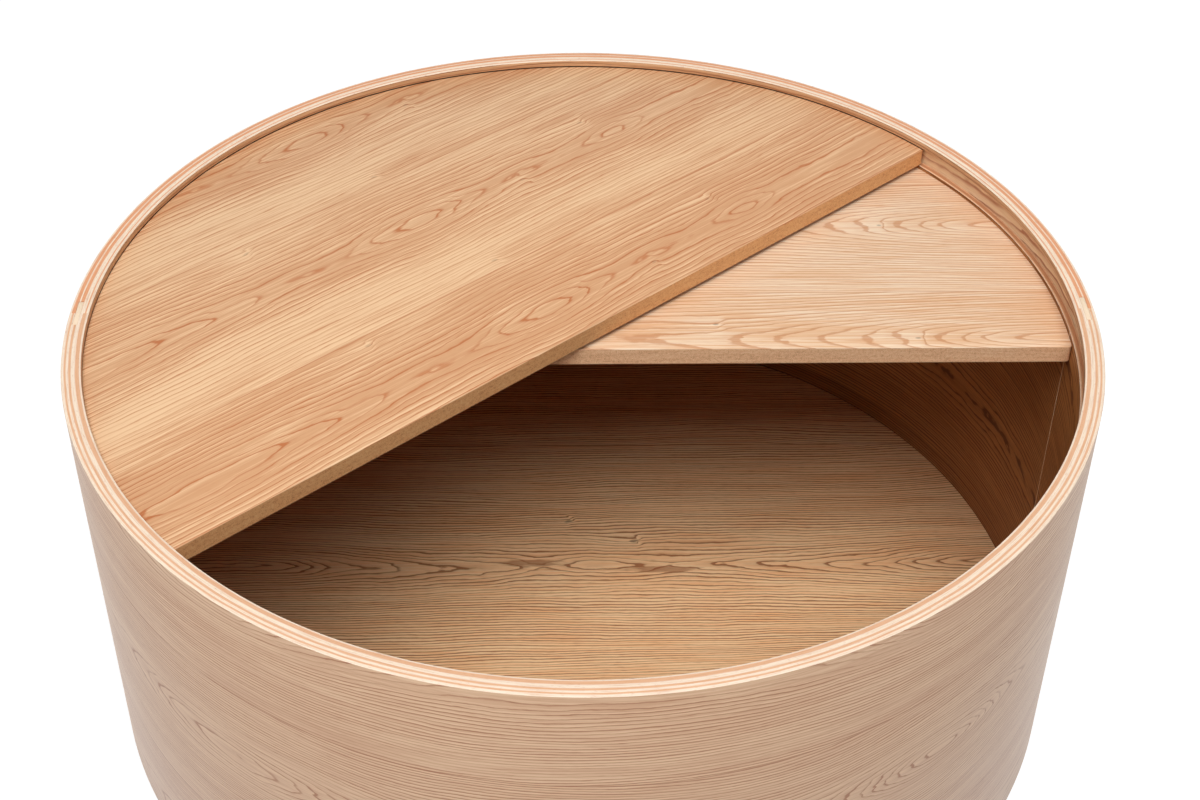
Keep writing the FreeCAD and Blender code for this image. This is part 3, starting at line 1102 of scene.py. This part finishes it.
@dataclass
class DrumWall:
    """The two half shells of bent plywood and the tongues that join them, in metres."""

    radius: float
    low: float
    high: float
    ledge: float
    lip_low: float
    bottom_groove_low: float
    bottom_groove_high: float
    thickness: float = 15 * MM
    lid_groove_depth: float = 6 * MM
    bottom_groove_depth: float = 5 * MM
    easing: float = 0.8 * MM
    groove_easing: float = 0.35 * MM
    seam_easing: float = 0.15 * MM
    slot_gap: float = 0.1 * MM
    slot_end_gap: float = 0.5 * MM
    slot_over: float = 5 * MM
    tongue_easing: float = 0.4 * MM
    steps: int = 180

    @classmethod
    def from_frame(cls) -> "DrumWall":
        """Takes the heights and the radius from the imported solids.

        Returns:
            The wall.
        """
        shell_low, shell_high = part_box("rear_shell")
        glide_play, top_gap, groove_play = 0.1 * MM, 1.0 * MM, 0.2 * MM
        return cls(
            radius=shell_high.y, low=shell_low.z, high=shell_high.z,
            ledge=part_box("lid_glide_1")[0].z - glide_play,
            lip_low=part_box("lid_face_veneer")[1].z + top_gap,
            bottom_groove_low=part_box("bottom_back_veneer")[0].z,
            bottom_groove_high=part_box("bottom_face_veneer")[1].z + groove_play,
        )

    @property
    def inner(self) -> float:
        """Radius of the inside of the wall."""
        return self.radius - self.thickness

    def profile(self, piece: Workpiece) -> None:
        """Shapes the wall's section, with both grooves and its eased edges.

        Args:
            piece: The piece to shape.
        """
        groove_back = self.inner + self.lid_groove_depth
        bottom_back = self.inner + self.bottom_groove_depth
        piece.upright_plate(self.inner, self.radius, self.low, self.high)
        with piece.editing():
            for height in (self.lip_low, self.ledge, self.bottom_groove_low, self.bottom_groove_high):
                piece.slice((0.0, 0.0, height), (0.0, 0.0, 1.0))
            for reach in (groove_back, bottom_back):
                piece.slice((reach, 0.0, 0.0), (1.0, 0.0, 0.0))
            piece.pick(Pick.FACES, lambda c: c.x < groove_back and self.ledge < c.z < self.lip_low)
            bpy.ops.mesh.delete(type="FACE")
            piece.pick(Pick.FACES, lambda c: c.x < bottom_back
                       and self.bottom_groove_low < c.z < self.bottom_groove_high)
            bpy.ops.mesh.delete(type="FACE")
            bpy.ops.mesh.select_all(action="SELECT")
            bpy.ops.mesh.dissolve_limited(angle_limit=math.radians(1.0))
            piece.pick(Pick.VERTS, lambda c: c.z > self.high - NEAR or c.z < self.low + NEAR)
            bpy.ops.mesh.bevel(offset=self.easing, segments=3, affect="VERTICES")
            piece.pick(Pick.VERTS, lambda c: c.x < self.inner + NEAR
                       and (abs(c.z - self.ledge) < NEAR or abs(c.z - self.lip_low) < NEAR))
            bpy.ops.mesh.bevel(offset=self.groove_easing, segments=2, affect="VERTICES")

    def half_shell(self, name: str, start: float) -> Workpiece:
        """Models one half of the wall.

        Args:
            name: The piece's name.
            start: The angle at which the half starts, in radians.

        Returns:
            The piece.
        """
        piece = Workpiece(name)
        self.profile(piece)
        with piece.editing(whole=True):
            piece.spin(self.steps, math.pi, (0.0, 0.0, 0.0))
        piece.close_up()
        with piece.editing():
            piece.pick(Pick.EDGES, lambda c: abs(c.y) < NEAR
                       and (c.to_2d().length > self.radius - NEAR or c.to_2d().length < self.inner + NEAR
                            or c.z > self.high - NEAR))
            bpy.ops.mesh.bevel(offset=self.seam_easing, segments=1, affect="EDGES", clamp_overlap=True)
        piece.obj.data.transform(Matrix.Rotation(start, 4, "Z"))
        for side in ("left", "right"):
            low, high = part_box(f"{side}_tongue")
            gap = Vector((self.slot_gap, self.slot_end_gap, self.slot_over))
            piece.cut(Workpiece("slot_cutter").block(low - gap, high + gap))
        piece.close_up()
        piece.smooth()
        return piece

    def surface(self, face: bpy.types.MeshPolygon) -> WallFace:
        """Tells which face of the wall a polygon belongs to.

        Args:
            face: The polygon.

        Returns:
            The wall's face.
        """
        square_on, near = 0.9, 0.05 * MM
        middle = face.center
        reach = middle.to_2d().length
        outwards = face.normal.to_2d().dot(middle.to_2d()) / reach
        inner_half = reach < self.inner + self.thickness / 2
        if outwards > square_on and reach > self.radius - self.easing:
            return WallFace.OUTER
        if outwards < -square_on and reach < self.inner + self.easing:
            # The lip's face takes the lighter copy of the inner veneer, as painted light; the rest takes the
            # darker one, as painted shade.
            return WallFace.LIP if middle.z > self.lip_low else WallFace.INNER
        if outwards < -square_on and inner_half:
            return WallFace.GROOVE
        # The groove's flat faces take a darker copy of the ply edge: partly the cut plies' own tone, partly
        # painted shade under the lip.
        in_groove = self.ledge - near < middle.z < self.lip_low + near
        return WallFace.GROOVE_SIDE if in_groove and inner_half else WallFace.PLIES

    def tongue(self, side: str) -> Workpiece:
        """Models the tongue at one seam.

        Args:
            side: The seam's side.

        Returns:
            The piece.
        """
        piece = Workpiece(f"{side}_seam_tongue").block(*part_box(f"{side}_tongue"))
        with piece.editing(whole=True):
            bpy.ops.mesh.bevel(offset=self.tongue_easing, segments=2, affect="EDGES")
        piece.smooth()
        return piece

    def build(self, finishes: "Finishes") -> None:
        """Builds and dresses the wall.

        Args:
            finishes: The finishes of the table.
        """
        for half, start in (("rear", 0.0), ("front", math.pi)):
            piece = self.half_shell(f"{half}_half_wall", start)
            # The inner, lip and groove-cut finishes carry painted shade and painted light.
            worn = ("outer_veneer", "inner_veneer_painted_shade", f"{half}_plies", "groove_ply", "groove_cut_with_painted_shade", "lip_veneer_painted_light")
            piece.dress([finishes[name] for name in worn], lambda face: self.surface(face).value)
            piece.fit("drum", "bent_ply", f"{half}_shell")
        for side in ("left", "right"):
            piece = self.tongue(side)
            piece.dress([finishes["tongue_birch"]])
            piece.fit("drum", "tongue_birch", f"{side}_tongue")


@dataclass
class VeneeredBoard:
    """A board of fibreboard with veneer on both faces, in metres."""

    name: str
    body: str
    radius: float
    past_centre: Optional[float] = None
    corner_radius: float = 0.0
    turn: float = 0.0
    bore_radius: float = 0.0
    bore_to: float = math.inf
    arris: float = 0.22 * MM
    corner_steps: int = 8
    arc_steps: int = 240
    over: float = 5 * MM

    def along(self, u: float, v: float) -> tuple[float, float, float]:
        """Gives the place of a point of the unturned outline."""
        cos, sin = math.cos(self.turn), math.sin(self.turn)
        return (u * cos - v * sin, u * sin + v * cos, 0.0)

    def outline(self, piece: Workpiece, low: float) -> None:
        """Draws the board's outline as one flat face.

        Args:
            piece: The piece to shape.
            low: The height at which it is drawn.
        """
        lift = Vector((0.0, 0.0, low))
        if self.past_centre is None:
            piece.point(Vector((self.radius, 0.0, low)))
            with piece.editing(whole=True):
                piece.spin(2 * self.arc_steps, 2 * math.pi, (0.0, 0.0, low))
        else:
            centre_v = self.corner_radius - self.past_centre
            centre_u = math.sqrt((self.radius - self.corner_radius) ** 2 - centre_v**2)
            start = math.atan2(centre_v, centre_u)
            piece.point(Vector(self.along(centre_u, -self.past_centre)) + lift)
            with piece.editing(whole=True):
                corner = start + math.pi / 2
                piece.spin(self.corner_steps, corner, Vector(self.along(centre_u, centre_v)) + lift)
                piece.spin(self.arc_steps, math.pi - 2 * start, lift)
                piece.spin(self.corner_steps, corner, Vector(self.along(-centre_u, centre_v)) + lift)
        with piece.editing(whole=True):
            bpy.ops.mesh.remove_doubles(threshold=WELD)
            bpy.ops.mesh.edge_face_add()

    def layer(self, name: str, node: str, eased_at: Optional[float]) -> Workpiece:
        """Models one layer of the board.

        Args:
            name: The piece's name.
            node: The solid that it stands for.
            eased_at: The height of the edge that is eased, or none.

        Returns:
            The piece.
        """
        low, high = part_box(node)[0].z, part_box(node)[1].z
        piece = Workpiece(name)
        self.outline(piece, low)
        with piece.editing(whole=True):
            bpy.ops.mesh.extrude_region_move(TRANSFORM_OT_translate={"value": (0.0, 0.0, high - low)})
        piece.close_up()
        if eased_at is not None:
            with piece.editing():
                piece.pick(Pick.EDGES, lambda c: abs(c.z - eased_at) < NEAR)
                bpy.ops.mesh.bevel(offset=self.arris, segments=2, affect="EDGES")
        if self.bore_radius and low < self.bore_to:
            top = min(high + self.over, self.bore_to)
            piece.cut(Workpiece("bore_cutter").rod(self.bore_radius, low - self.over, top))
            piece.close_up()
        piece.smooth()
        return piece

    def build(self, face: bpy.types.Material, back: bpy.types.Material, edge: bpy.types.Material) -> None:
        """Builds and dresses the three layers.

        Args:
            face: Finish of the upper veneer.
            back: Finish of the lower veneer.
            edge: Finish of the board's core.
        """
        layers = (
            ("face", f"{self.name}_face_veneer", face, "ash_veneer"),
            ("core", f"{self.name}_board", edge, "mdf_core"),
            ("back", f"{self.name}_back_veneer", back, "ash_veneer"),
        )
        for part, node, finish, slot in layers:
            low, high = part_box(node)[0].z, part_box(node)[1].z
            eased_at = {"face": high, "back": low}.get(part)
            piece = self.layer(f"{self.name}_{part}", node, eased_at)
            piece.dress([finish])
            piece.fit(self.body, slot, node)


class Finishes:
    """Every finish of the table, by its name."""

    def __init__(self, lid_turn: float) -> None:
        """Builds the materials.

        Args:
            lid_turn: How far the lid's straight edge is turned about Z, in radians.
        """
        groups = AshGroups()
        self.made = {look.name: look.material(groups)
                     for look in self.wall_looks() + self.board_looks(lid_turn) + self.hardware_looks()}

    def __getitem__(self, name: str) -> bpy.types.Material:
        """Gives a finish by its name."""
        return self.made[name]

    @staticmethod
    def wall_looks() -> list[Look]:
        """Gives the looks of the drum's wall, its rim and its grooves.

        Returns:
            The looks.
        """
        return [
            AshVeneer(
                "outer_veneer", Grain.ROUND, first_joint=100.0, heart=0.583, depth=30.0, drift=9.0, seed=2.0,
                contrast=1.3, wander=2.0, ring_width=2.7, coat=0.4,
                islands=(Island(-358.0, 70.0, 22.0), Island(-904.0, 110.0, 18.0)),
                pale=paint(231, 195, 160), tan=paint(212, 169, 135), ring=paint(160, 92, 52)),
            # Painted shade: the inner veneer is a darkened copy of the lip's ash, standing in for the shade
            # inside the drum.
            AshVeneer(
                "inner_veneer_painted_shade", Grain.ROUND, radius=385.0, first_joint=40.0, depth=28.0, seed=5.0,
                contrast=1.8, seam=0.8,
                pale=paint(186, 125, 72), tan=paint(156, 96, 48), ring=paint(80, 35, 11)),
            # Painted light: the same veneer as the inner wall in a lighter copy, for the lip where more light
            # falls.
            AshVeneer(
                "lip_veneer_painted_light", Grain.ROUND, radius=385.0, first_joint=40.0, depth=28.0, seed=5.0,
                contrast=1.4,
                pale=paint(222, 178, 136), tan=paint(202, 152, 110), ring=paint(150, 92, 58)),
            AshVeneer(
                "groove_ply", Grain.ROUND, radius=391.0, first_joint=250.0, leaf_width=300.0, heart=0.4,
                seed=41.0, contrast=1.6, depth=30.0, ring_width=6.5, line_width=3.4, drift=22.0, wander=8.0,
                satin=0.6,
                pale=paint(252, 226, 190), tan=paint(240, 206, 164), ring=paint(172, 94, 58)),
            PlyEdge("front_plies"),
            PlyEdge("rear_plies", ply_shares=(0.14, 0.07, 0.22, 0.19, 0.07, 0.19, 0.12),
                    pale=paint(255, 235, 210), dark=paint(238, 168, 124), pore=paint(196, 120, 76)),
            # Partly painted shade: a darker copy of the ply edge for the ledge and the lip's underside, which
            # lie in the lip's shade; partly the cut plies' own tone.
            PlyEdge("groove_cut_with_painted_shade", pale=paint(238, 196, 156), dark=paint(206, 146, 104),
                    pore=paint(142, 86, 54)),
            PlainWood("tongue_birch", True, paint(255, 235, 208), paint(248, 218, 184), paint(212, 166, 122)),
        ]

    @staticmethod
    def board_looks(lid_turn: float) -> list[Look]:
        """Gives the looks of the lid, the fixed top and the bottom panel.

        Args:
            lid_turn: How far the lid's straight edge is turned about Z, in radians.

        Returns:
            The looks.
        """
        return [
            # The lid's veneer carries painted shade under the lip from 384.7 mm out.
            AshVeneer(
                "lid_veneer", turn=lid_turn, first_joint=94.0, leaf_width=162.5, seed=11.0, contrast=1.05,
                line_width=1.6, depth=30.0, eye=0.2, hidden_from=384.7, bright=0.22, ring_width=4.0,
                point=1.6, heart_shade=0.12, drift=5.0, wander=3.5,
                islands=(Island(-330.0, 110.0, 12.0), Island(-17.0, 50.0, 11.0, 32.0),
                         Island(95.0, 34.0, 2.0, 25.0), Island(200.0, 30.0, 6.0, 25.0)),
                knots=(PinKnot(-153.0, 55.0), PinKnot(-4.0, -84.0), PinKnot(188.0, 29.0),
                       PinKnot(90.0, -8.0))),
            AshVeneer(
                "fixed_top_veneer", first_joint=58.0, leaf_width=156.0, heart=0.61, seed=17.0, contrast=1.45,
                limit=0.55, line_width=1.5, eye=0.4, depth=42.0, slip=12.0, teeth=10.0, drift=3.0, wander=1.5,
                ring_width=3.3, islands=(Island(400.0, 200.0, 38.5, 80.0),),
                knots=(PinKnot(94.0, 19.0, 1.4), PinKnot(253.0, 0.0, 1.2)),
                pale=paint(253, 228, 199), tan=paint(236, 190, 148), ring=paint(194, 118, 60)),
            AshVeneer(
                "bottom_veneer", first_joint=-115.0, leaf_width=330.0, heart=0.5, seed=23.0, contrast=1.6,
                wander=3.2, depth=28.0, ring_width=2.9, line_width=1.8, drift=10.0, point=1.5,
                islands=(Island(-330.0, 130.0, 20.0), Island(-40.0, 30.0, -4.0, 18.0),
                         Island(88.0, 46.0, -4.0, 18.0), Island(390.0, 130.0, 20.0)),
                lenses=(GrazedRing(-46.0, 3.0, 32.0, 5.5), GrazedRing(72.0, -6.0, 40.0, 4.5)),
                knots=(PinKnot(-15.0, 58.0, 2.0), PinKnot(48.0, 31.0, 2.4)),
                pale=paint(255, 217, 169), tan=paint(246, 188, 135), ring=paint(142, 68, 20)),
            # Painted shade: the backing veneer is a darkened copy of the ash, for the shade under the boards
            # and in the gap under the lid.
            AshVeneer(
                "backing_veneer_painted_shade", first_joint=20.0, seed=31.0, contrast=0.9, depth=34.0,
                islands=(Island(60.0, 90.0, 20.0),),
                pale=paint(172, 130, 94), tan=paint(146, 104, 72), ring=paint(104, 66, 40)),
            BareBoard("board_edge"),
            BareBoard("lid_edge", paint(230, 193, 139), paint(224, 167, 113), paint(181, 121, 74)),
        ]

    @staticmethod
    def hardware_looks() -> list[Look]:
        """Gives the looks of the cleats, screws, glides and the pivot.

        Returns:
            The looks.
        """
        return [
            PlainWood("cleat_beech", False, paint(226, 184, 146), paint(208, 160, 120), paint(158, 106, 74)),
            PlatedMetal("zinc_steel", paint(216, 217, 214), paint(172, 172, 166), 0.24),
            PlatedMetal("insert_brass", paint(222, 190, 112), paint(176, 142, 78), 0.26),
            MouldedPlastic("white_nylon", paint(232, 229, 220), paint(214, 209, 196)),
            MouldedPlastic("brown_plastic", paint(94, 70, 52), paint(122, 95, 72)),
        ]


@dataclass
class Boards:
    """The three veneered boards and their fit in the drum, in metres and radians."""

    lid_turn: float = math.radians(40.5)
    bottom_bite: float = 4.5 * MM
    fixed_play: float = 0.6 * MM
    fixed_past_centre: float = 15.5 * MM
    fixed_corner: float = 3 * MM
    lid_bite: float = 4 * MM
    lid_past_centre: float = 12.5 * MM
    lid_corner: float = 6 * MM
    bore_radius: float = 6.1 * MM
    bore_play: float = 0.1 * MM

    def build(self, inner: float, finishes: Finishes) -> None:
        """Builds and dresses the boards.

        Args:
            inner: Radius of the inside of the wall.
            finishes: The finishes of the table.
        """
        back, edge = finishes["backing_veneer_painted_shade"], finishes["board_edge"]
        VeneeredBoard("bottom", "drum", inner + self.bottom_bite).build(finishes["bottom_veneer"], back, edge)
        VeneeredBoard("fixed_top", "drum", inner - self.fixed_play, self.fixed_past_centre, self.fixed_corner,
                      bore_radius=self.bore_radius).build(finishes["fixed_top_veneer"], back, edge)
        bore_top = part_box("pivot_insert")[1].z + self.bore_play
        VeneeredBoard("lid", "lid", inner + self.lid_bite, self.lid_past_centre, self.lid_corner,
                      self.lid_turn, self.bore_radius, bore_top).build(
            finishes["lid_veneer"], back, finishes["lid_edge"])


@dataclass
class Hardware:
    """The pieces that keep their solid's shape: cleats, screws, glides, nails and the pivot."""

    cleats: int = 5
    floor_glides: int = 6
    lid_glides: int = 5

    def dress(self, finishes: Finishes) -> None:
        """Gives each piece its finish.

        Args:
            finishes: The finishes of the table.
        """
        worn = {
            "cleat_beech": [f"cleat_{number + 1}" for number in range(self.cleats)],
            "brown_plastic": [f"floor_glide_{number + 1}" for number in range(self.floor_glides)],
            "white_nylon": [f"lid_glide_{number + 1}" for number in range(self.lid_glides)]
            + ["pivot_bush", "pivot_spacer"],
            "zinc_steel": ["cleat_wall_screws", "cleat_panel_screws", "glide_nails", "pivot_pin",
                           "pivot_washer", "pivot_clip"],
            "insert_brass": ["pivot_insert"],
        }
        for finish, nodes in worn.items():
            for node in nodes:
                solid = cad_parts[node]
                solid.data.materials.clear()
                solid.data.materials.append(finishes[finish])
                log.info("solid %s wears %s", node, finish)


@dataclass
class Studio:
    """White floor, soft light and the camera, in metres and degrees."""

    floor_span: float = 12.0
    floor_drop: float = 0.2 * MM
    floor_glow: float = 0.82
    floor_shade: float = 0.3
    floor_bounce: Colour = paint(176, 174, 172)
    sky_low: float = 0.1
    sky_high: float = 0.3
    sky_top: float = 0.9
    box_span: float = 3.5
    box_place: tuple[float, float, float] = (0.12, -2.2, 4.9)
    box_watts: float = 224.0
    fill_span: float = 1.6
    fill_place: tuple[float, float, float] = (-1.8, -2.5, 1.0)
    fill_watts: float = 14.0
    lens: float = 59.34
    sensor: float = 36.0
    camera_place: tuple[float, float, float] = (-0.01928, -1.23236, 1.28421)
    heading: float = 1.5
    tilt: float = 39.743
    roll: float = 0.626

    @staticmethod
    def seen_directly(sheet: NodeSheet) -> Socket:
        """Tells where the camera, a mirror or glass looks straight at a surface.

        Args:
            sheet: The node tree.

        Returns:
            1 for those rays and 0 for the rest.
        """
        path = sheet.add("ShaderNodeLightPath").outputs
        seen = sheet.math("MAXIMUM", path["Is Camera Ray"], path["Is Glossy Ray"])
        return sheet.math("MAXIMUM", seen, path["Is Transmission Ray"])

    def floor(self) -> None:
        """Lays the white floor, which keeps the object's shadow."""
        bpy.ops.object.select_all(action="DESELECT")
        bpy.ops.mesh.primitive_plane_add(size=self.floor_span, location=(0.0, 0.0, -self.floor_drop))
        floor = bpy.context.object
        floor.name = "studio_floor"
        material = bpy.data.materials.new("studio_white")
        material.use_nodes = True
        material.node_tree.nodes.clear()
        sheet = NodeSheet(material.node_tree)
        glow = sheet.add("ShaderNodeEmission")
        glow.inputs["Strength"].default_value = self.floor_glow
        shaded = sheet.add("ShaderNodeBsdfDiffuse")
        shaded.inputs["Color"].default_value = (self.floor_shade,) * 3 + (1.0,)
        both = sheet.add("ShaderNodeAddShader")
        sheet.feed(both.inputs[0], glow.outputs[0])
        sheet.feed(both.inputs[1], shaded.outputs[0])
        bounce = sheet.add("ShaderNodeBsdfDiffuse")
        bounce.inputs["Color"].default_value = self.floor_bounce
        switch = sheet.add("ShaderNodeMixShader")
        sheet.feed(switch.inputs[0], self.seen_directly(sheet))
        sheet.feed(switch.inputs[1], bounce.outputs[0])
        sheet.feed(switch.inputs[2], both.outputs[0])
        sheet.feed(sheet.add("ShaderNodeOutputMaterial").inputs["Surface"], switch.outputs[0])
        floor.data.materials.append(material)

    def world(self) -> None:
        """Surrounds the table with soft white light."""
        world = bpy.data.worlds.new("studio_world")
        world.use_nodes = True
        bpy.context.scene.world = world
        sheet = NodeSheet(world.node_tree)
        background = next(node for node in world.node_tree.nodes if node.type == "BACKGROUND")
        background.inputs["Color"].default_value = (1.0, 1.0, 1.0, 1.0)
        direction = sheet.add("ShaderNodeSeparateXYZ")
        sheet.feed(direction.inputs[0], sheet.add("ShaderNodeTexCoord").outputs["Generated"])
        sky = sheet.band(direction.outputs[2], 0.0, self.sky_top, self.sky_low, self.sky_high)
        sheet.feed(background.inputs["Strength"], sheet.math("MAXIMUM", sky, self.seen_directly(sheet)))

    @staticmethod
    def softbox(name: str, place: Sequence[float], span: float, watts: float) -> None:
        """Hangs a soft light that faces the table.

        Args:
            name: The light's name.
            place: Where it hangs.
            span: Its width.
            watts: Its power.
        """
        light = bpy.data.lights.new(name, "AREA")
        light.energy = watts
        light.size = span
        lamp = bpy.data.objects.new(name, light)
        lamp.location = place
        lamp.rotation_euler = (-Vector(place)).to_track_quat("-Z", "Y").to_euler()
        bpy.context.scene.collection.objects.link(lamp)

    def camera(self) -> None:
        """Sets up the camera at the photograph's viewing angle."""
        data = bpy.data.cameras.new("photo_camera")
        data.lens = self.lens
        data.sensor_width = self.sensor
        data.sensor_fit = "HORIZONTAL"
        camera = bpy.data.objects.new("photo_camera", data)
        camera.matrix_world = (
            Matrix.Translation(self.camera_place)
            @ Matrix.Rotation(-math.radians(self.heading), 4, "Z")
            @ Matrix.Rotation(math.radians(90.0 - self.tilt), 4, "X")
            @ Matrix.Rotation(math.radians(self.roll), 4, "Z")
        )
        bpy.context.scene.collection.objects.link(camera)
        bpy.context.scene.camera = camera

    def build(self) -> None:
        """Builds the whole studio."""
        self.floor()
        self.world()
        self.softbox("overhead_softbox", self.box_place, self.box_span, self.box_watts)
        self.softbox("front_fill", self.fill_place, self.fill_span, self.fill_watts)
        self.camera()
        bpy.context.scene.view_settings.view_transform = "Standard"
        log.info("studio ready")


def main() -> None:
    """Builds the table's looks in order."""
    logging.basicConfig(level=logging.INFO, format="%(name)s: %(message)s")
    boards = Boards()
    finishes = Finishes(boards.lid_turn)
    wall = DrumWall.from_frame()
    wall.build(finishes)
    boards.build(wall.inner, finishes)
    Hardware().dress(finishes)
    Studio().build()


if __name__ == "__main__":
    main()
